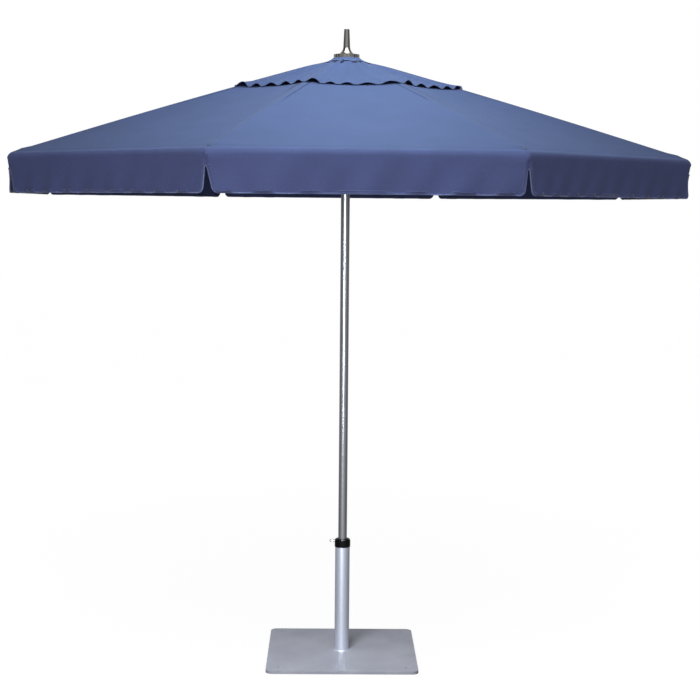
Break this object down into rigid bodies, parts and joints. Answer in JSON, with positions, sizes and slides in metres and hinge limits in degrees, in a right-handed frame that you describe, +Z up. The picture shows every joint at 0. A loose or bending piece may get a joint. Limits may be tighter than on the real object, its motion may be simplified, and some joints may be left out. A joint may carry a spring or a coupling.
{
  "type": "patio umbrella",
  "caption": "Eight-sided push-up market umbrella with a vent flap and a valance, its pole standing in a stem on a square steel base plate.",
  "frame": {"origin": "on the ground, under the middle of the base plate, on the pole's axis", "axes": "+Z up the pole; X and Y along the plate's edges, with the front canopy side facing -Y, turned 2.8 degrees anticlockwise"},
  "size_m": [2.5794, 2.5794, 2.5596],
  "materials": {
    "canvas": "woven acrylic canvas, muted navy blue",
    "pole_aluminium": "satin anodised tube",
    "rib_aluminium": "satin anodised",
    "finial_metal": "polished and turned",
    "plate_coat": "satin grey powder coat on steel plate",
    "stem_coat": "silver powder coat on steel tube",
    "collar_plastic": "moulded black, slightly glossy",
    "sleeve_plastic": "moulded",
    "plug_plastic": "moulded",
    "hub_plastic": "moulded nylon",
    "screw_steel": "zinc plated",
    "glide_rubber": "matte"
  },
  "bodies": {
    "base": {"base_plate": "plate_coat", "base_glides": "glide_rubber", "stem_tube": "stem_coat", "stem_weld": "stem_coat", "stem_collar": "collar_plastic"},
    "clamp": {"clamp_screw": "screw_steel"},
    "sleeve": {"stem_sleeve": "sleeve_plastic"},
    "mast": {"pole": "pole_aluminium", "pole_plug": "plug_plastic", "pole_top_plug": "plug_plastic", "crown_hub": "hub_plastic", "crown_pins": "screw_steel", "top_cap": "canvas", "finial_disc": "finial_metal", "finial": "finial_metal", "finial_stud": "screw_steel"},
    "lock": {"lock_pin": "screw_steel"},
    "runner": {"runner_hub": "hub_plastic", "runner_pins": "screw_steel"},
    "rib_1": {"rib_1": "rib_aluminium"},
    "strut_1": {"strut_1": "rib_aluminium"},
    "side_1": {"canopy_panel_1": "canvas", "vent_panel_1": "canvas"},
    "skirt_1": {"valance_1": "canvas"},
    "rib_2": {"rib_2": "rib_aluminium"},
    "strut_2": {"strut_2": "rib_aluminium"},
    "side_2": {"canopy_panel_2": "canvas", "vent_panel_2": "canvas"},
    "skirt_2": {"valance_2": "canvas"},
    "rib_3": {"rib_3": "rib_aluminium"},
    "strut_3": {"strut_3": "rib_aluminium"},
    "side_3": {"canopy_panel_3": "canvas", "vent_panel_3": "canvas"},
    "skirt_3": {"valance_3": "canvas"},
    "rib_4": {"rib_4": "rib_aluminium"},
    "strut_4": {"strut_4": "rib_aluminium"},
    "side_4": {"canopy_panel_4": "canvas", "vent_panel_4": "canvas"},
    "skirt_4": {"valance_4": "canvas"},
    "rib_5": {"rib_5": "rib_aluminium"},
    "strut_5": {"strut_5": "rib_aluminium"},
    "side_5": {"canopy_panel_5": "canvas", "vent_panel_5": "canvas"},
    "skirt_5": {"valance_5": "canvas"},
    "rib_6": {"rib_6": "rib_aluminium"},
    "strut_6": {"strut_6": "rib_aluminium"},
    "side_6": {"canopy_panel_6": "canvas", "vent_panel_6": "canvas"},
    "skirt_6": {"valance_6": "canvas"},
    "rib_7": {"rib_7": "rib_aluminium"},
    "strut_7": {"strut_7": "rib_aluminium"},
    "side_7": {"canopy_panel_7": "canvas", "vent_panel_7": "canvas"},
    "skirt_7": {"valance_7": "canvas"},
    "rib_8": {"rib_8": "rib_aluminium"},
    "strut_8": {"strut_8": "rib_aluminium"},
    "side_8": {"canopy_panel_8": "canvas", "vent_panel_8": "canvas"},
    "skirt_8": {"valance_8": "canvas"}
  },
  "joints": [
    {"name": "pole_swivel", "type": "hinge", "parent": "base", "child": "sleeve", "pos_m": [0, 0, 0.448], "axis": [0, 0, 1], "continuous": true},
    {"name": "pole_lift", "type": "slide", "parent": "sleeve", "child": "mast", "axis": [0, 0, 1], "range_m": [0, 0.47]},
    {"name": "clamp_turn", "type": "hinge", "parent": "base", "child": "clamp", "pos_m": [-0.036, 0, 0.474], "axis": [-1, 0, 0], "continuous": true},
    {"name": "lock_pull", "type": "slide", "parent": "mast", "child": "lock", "axis": [0.7408, -0.6717, 0], "range_m": [0, 0.06]},
    {"name": "rib_1_fold", "type": "hinge", "parent": "mast", "child": "rib_1", "pos_m": [0.01795, -0.03797, 2.43103], "axis": [0.9041, 0.4274, 0], "range_deg": [0, 69]},
    {"name": "rib_2_fold", "type": "hinge", "parent": "mast", "child": "rib_2", "pos_m": [0.03954, -0.01416, 2.43103], "axis": [0.3371, 0.9415, 0], "range_deg": [0, 69]},
    {"name": "rib_3_fold", "type": "hinge", "parent": "mast", "child": "rib_3", "pos_m": [0.03797, 0.01795, 2.43103], "axis": [-0.4274, 0.9041, 0], "range_deg": [0, 69]},
    {"name": "rib_4_fold", "type": "hinge", "parent": "mast", "child": "rib_4", "pos_m": [0.01416, 0.03954, 2.43103], "axis": [-0.9415, 0.3371, 0], "range_deg": [0, 69]},
    {"name": "rib_5_fold", "type": "hinge", "parent": "mast", "child": "rib_5", "pos_m": [-0.01795, 0.03797, 2.43103], "axis": [-0.9041, -0.4274, 0], "range_deg": [0, 69]},
    {"name": "rib_6_fold", "type": "hinge", "parent": "mast", "child": "rib_6", "pos_m": [-0.03954, 0.01416, 2.43103], "axis": [-0.3371, -0.9415, 0], "range_deg": [0, 69]},
    {"name": "rib_7_fold", "type": "hinge", "parent": "mast", "child": "rib_7", "pos_m": [-0.03797, -0.01795, 2.43103], "axis": [0.4274, -0.9041, 0], "range_deg": [0, 69]},
    {"name": "rib_8_fold", "type": "hinge", "parent": "mast", "child": "rib_8", "pos_m": [-0.01416, -0.03954, 2.43103], "axis": [0.9415, -0.3371, 0], "range_deg": [0, 69]},
    {"name": "strut_1_fold", "type": "hinge", "parent": "rib_1", "child": "strut_1", "pos_m": [0.30153, -0.63789, 2.20724], "axis": [0.9041, 0.4274, 0], "range_deg": [-138, 0]},
    {"name": "strut_2_fold", "type": "hinge", "parent": "rib_2", "child": "strut_2", "pos_m": [0.66427, -0.23784, 2.20724], "axis": [0.3371, 0.9415, 0], "range_deg": [-138, 0]},
    {"name": "strut_3_fold", "type": "hinge", "parent": "rib_3", "child": "strut_3", "pos_m": [0.63789, 0.30153, 2.20724], "axis": [-0.4274, 0.9041, 0], "range_deg": [-138, 0]},
    {"name": "strut_4_fold", "type": "hinge", "parent": "rib_4", "child": "strut_4", "pos_m": [0.23784, 0.66427, 2.20724], "axis": [-0.9415, 0.3371, 0], "range_deg": [-138, 0]},
    {"name": "strut_5_fold", "type": "hinge", "parent": "rib_5", "child": "strut_5", "pos_m": [-0.30153, 0.63789, 2.20724], "axis": [-0.9041, -0.4274, 0], "range_deg": [-138, 0]},
    {"name": "strut_6_fold", "type": "hinge", "parent": "rib_6", "child": "strut_6", "pos_m": [-0.66427, 0.23784, 2.20724], "axis": [-0.3371, -0.9415, 0], "range_deg": [-138, 0]},
    {"name": "strut_7_fold", "type": "hinge", "parent": "rib_7", "child": "strut_7", "pos_m": [-0.63789, -0.30153, 2.20724], "axis": [0.4274, -0.9041, 0], "range_deg": [-138, 0]},
    {"name": "strut_8_fold", "type": "hinge", "parent": "rib_8", "child": "strut_8", "pos_m": [-0.23784, -0.66427, 2.20724], "axis": [0.9415, -0.3371, 0], "range_deg": [-138, 0]},
    {"name": "runner_hinge", "type": "hinge", "parent": "strut_1", "child": "runner", "pos_m": [0.01795, -0.03797, 1.98346], "axis": [0.9041, 0.4274, 0], "range_deg": [0, 69]},
    {"name": "side_1_fold", "type": "hinge", "parent": "mast", "child": "side_1", "pos_m": [0.00205, -0.04195, 2.43103], "axis": [0.9988, 0.0488, 0], "range_deg": [0, 67.86], "deforming": ["canopy_panel_1", "vent_panel_1"]},
    {"name": "side_2_fold", "type": "hinge", "parent": "mast", "child": "side_2", "pos_m": [0.03111, -0.02821, 2.43103], "axis": [0.6717, 0.7408, 0], "range_deg": [0, 67.86], "deforming": ["canopy_panel_2", "vent_panel_2"]},
    {"name": "side_3_fold", "type": "hinge", "parent": "mast", "child": "side_3", "pos_m": [0.04195, 0.00205, 2.43103], "axis": [-0.0488, 0.9988, 0], "range_deg": [0, 67.86], "deforming": ["canopy_panel_3", "vent_panel_3"]},
    {"name": "side_4_fold", "type": "hinge", "parent": "mast", "child": "side_4", "pos_m": [0.02821, 0.03111, 2.43103], "axis": [-0.7408, 0.6717, 0], "range_deg": [0, 67.86], "deforming": ["canopy_panel_4", "vent_panel_4"]},
    {"name": "side_5_fold", "type": "hinge", "parent": "mast", "child": "side_5", "pos_m": [-0.00205, 0.04195, 2.43103], "axis": [-0.9988, -0.0488, 0], "range_deg": [0, 67.86], "deforming": ["canopy_panel_5", "vent_panel_5"]},
    {"name": "side_6_fold", "type": "hinge", "parent": "mast", "child": "side_6", "pos_m": [-0.03111, 0.02821, 2.43103], "axis": [-0.6717, -0.7408, 0], "range_deg": [0, 67.86], "deforming": ["canopy_panel_6", "vent_panel_6"]},
    {"name": "side_7_fold", "type": "hinge", "parent": "mast", "child": "side_7", "pos_m": [-0.04195, -0.00205, 2.43103], "axis": [0.0488, -0.9988, 0], "range_deg": [0, 67.86], "deforming": ["canopy_panel_7", "vent_panel_7"]},
    {"name": "side_8_fold", "type": "hinge", "parent": "mast", "child": "side_8", "pos_m": [-0.02821, -0.03111, 2.43103], "axis": [0.7408, -0.6717, 0], "range_deg": [0, 67.86], "deforming": ["canopy_panel_8", "vent_panel_8"]},
    {"name": "skirt_1_fold", "type": "hinge", "parent": "side_1", "child": "skirt_1", "pos_m": [0.06183, -1.2642, 2.036], "axis": [0.9988, 0.0488, 0], "range_deg": [-67.86, 0], "deforming": ["valance_1"]},
    {"name": "skirt_2_fold", "type": "hinge", "parent": "side_2", "child": "skirt_2", "pos_m": [0.93765, -0.85021, 2.036], "axis": [0.6717, 0.7408, 0], "range_deg": [-67.86, 0], "deforming": ["valance_2"]},
    {"name": "skirt_3_fold", "type": "hinge", "parent": "side_3", "child": "skirt_3", "pos_m": [1.2642, 0.06183, 2.036], "axis": [-0.0488, 0.9988, 0], "range_deg": [-67.86, 0], "deforming": ["valance_3"]},
    {"name": "skirt_4_fold", "type": "hinge", "parent": "side_4", "child": "skirt_4", "pos_m": [0.85021, 0.93765, 2.036], "axis": [-0.7408, 0.6717, 0], "range_deg": [-67.86, 0], "deforming": ["valance_4"]},
    {"name": "skirt_5_fold", "type": "hinge", "parent": "side_5", "child": "skirt_5", "pos_m": [-0.06183, 1.2642, 2.036], "axis": [-0.9988, -0.0488, 0], "range_deg": [-67.86, 0], "deforming": ["valance_5"]},
    {"name": "skirt_6_fold", "type": "hinge", "parent": "side_6", "child": "skirt_6", "pos_m": [-0.93765, 0.85021, 2.036], "axis": [-0.6717, -0.7408, 0], "range_deg": [-67.86, 0], "deforming": ["valance_6"]},
    {"name": "skirt_7_fold", "type": "hinge", "parent": "side_7", "child": "skirt_7", "pos_m": [-1.2642, -0.06183, 2.036], "axis": [0.0488, -0.9988, 0], "range_deg": [-67.86, 0], "deforming": ["valance_7"]},
    {"name": "skirt_8_fold", "type": "hinge", "parent": "side_8", "child": "skirt_8", "pos_m": [-0.85021, -0.93765, 2.036], "axis": [0.7408, -0.6717, 0], "range_deg": [-67.86, 0], "deforming": ["valance_8"]}
  ],
  "couplings": [
    {"joint": "rib_2_fold", "follows": "rib_1_fold", "ratio": 1},
    {"joint": "rib_3_fold", "follows": "rib_1_fold", "ratio": 1},
    {"joint": "rib_4_fold", "follows": "rib_1_fold", "ratio": 1},
    {"joint": "rib_5_fold", "follows": "rib_1_fold", "ratio": 1},
    {"joint": "rib_6_fold", "follows": "rib_1_fold", "ratio": 1},
    {"joint": "rib_7_fold", "follows": "rib_1_fold", "ratio": 1},
    {"joint": "rib_8_fold", "follows": "rib_1_fold", "ratio": 1},
    {"joint": "strut_1_fold", "follows": "rib_1_fold", "ratio": -2},
    {"joint": "strut_2_fold", "follows": "rib_1_fold", "ratio": -2},
    {"joint": "strut_3_fold", "follows": "rib_1_fold", "ratio": -2},
    {"joint": "strut_4_fold", "follows": "rib_1_fold", "ratio": -2},
    {"joint": "strut_5_fold", "follows": "rib_1_fold", "ratio": -2},
    {"joint": "strut_6_fold", "follows": "rib_1_fold", "ratio": -2},
    {"joint": "strut_7_fold", "follows": "rib_1_fold", "ratio": -2},
    {"joint": "strut_8_fold", "follows": "rib_1_fold", "ratio": -2},
    {"joint": "runner_hinge", "follows": "rib_1_fold", "ratio": 1},
    {"joint": "side_1_fold", "follows": "rib_1_fold", "ratio": 0.9832},
    {"joint": "side_2_fold", "follows": "rib_1_fold", "ratio": 0.9832},
    {"joint": "side_3_fold", "follows": "rib_1_fold", "ratio": 0.9832},
    {"joint": "side_4_fold", "follows": "rib_1_fold", "ratio": 0.9832},
    {"joint": "side_5_fold", "follows": "rib_1_fold", "ratio": 0.9832},
    {"joint": "side_6_fold", "follows": "rib_1_fold", "ratio": 0.9832},
    {"joint": "side_7_fold", "follows": "rib_1_fold", "ratio": 0.9832},
    {"joint": "side_8_fold", "follows": "rib_1_fold", "ratio": 0.9832},
    {"joint": "skirt_1_fold", "follows": "rib_1_fold", "ratio": -0.9832},
    {"joint": "skirt_2_fold", "follows": "rib_1_fold", "ratio": -0.9832},
    {"joint": "skirt_3_fold", "follows": "rib_1_fold", "ratio": -0.9832},
    {"joint": "skirt_4_fold", "follows": "rib_1_fold", "ratio": -0.9832},
    {"joint": "skirt_5_fold", "follows": "rib_1_fold", "ratio": -0.9832},
    {"joint": "skirt_6_fold", "follows": "rib_1_fold", "ratio": -0.9832},
    {"joint": "skirt_7_fold", "follows": "rib_1_fold", "ratio": -0.9832},
    {"joint": "skirt_8_fold", "follows": "rib_1_fold", "ratio": -0.9832}
  ]
}
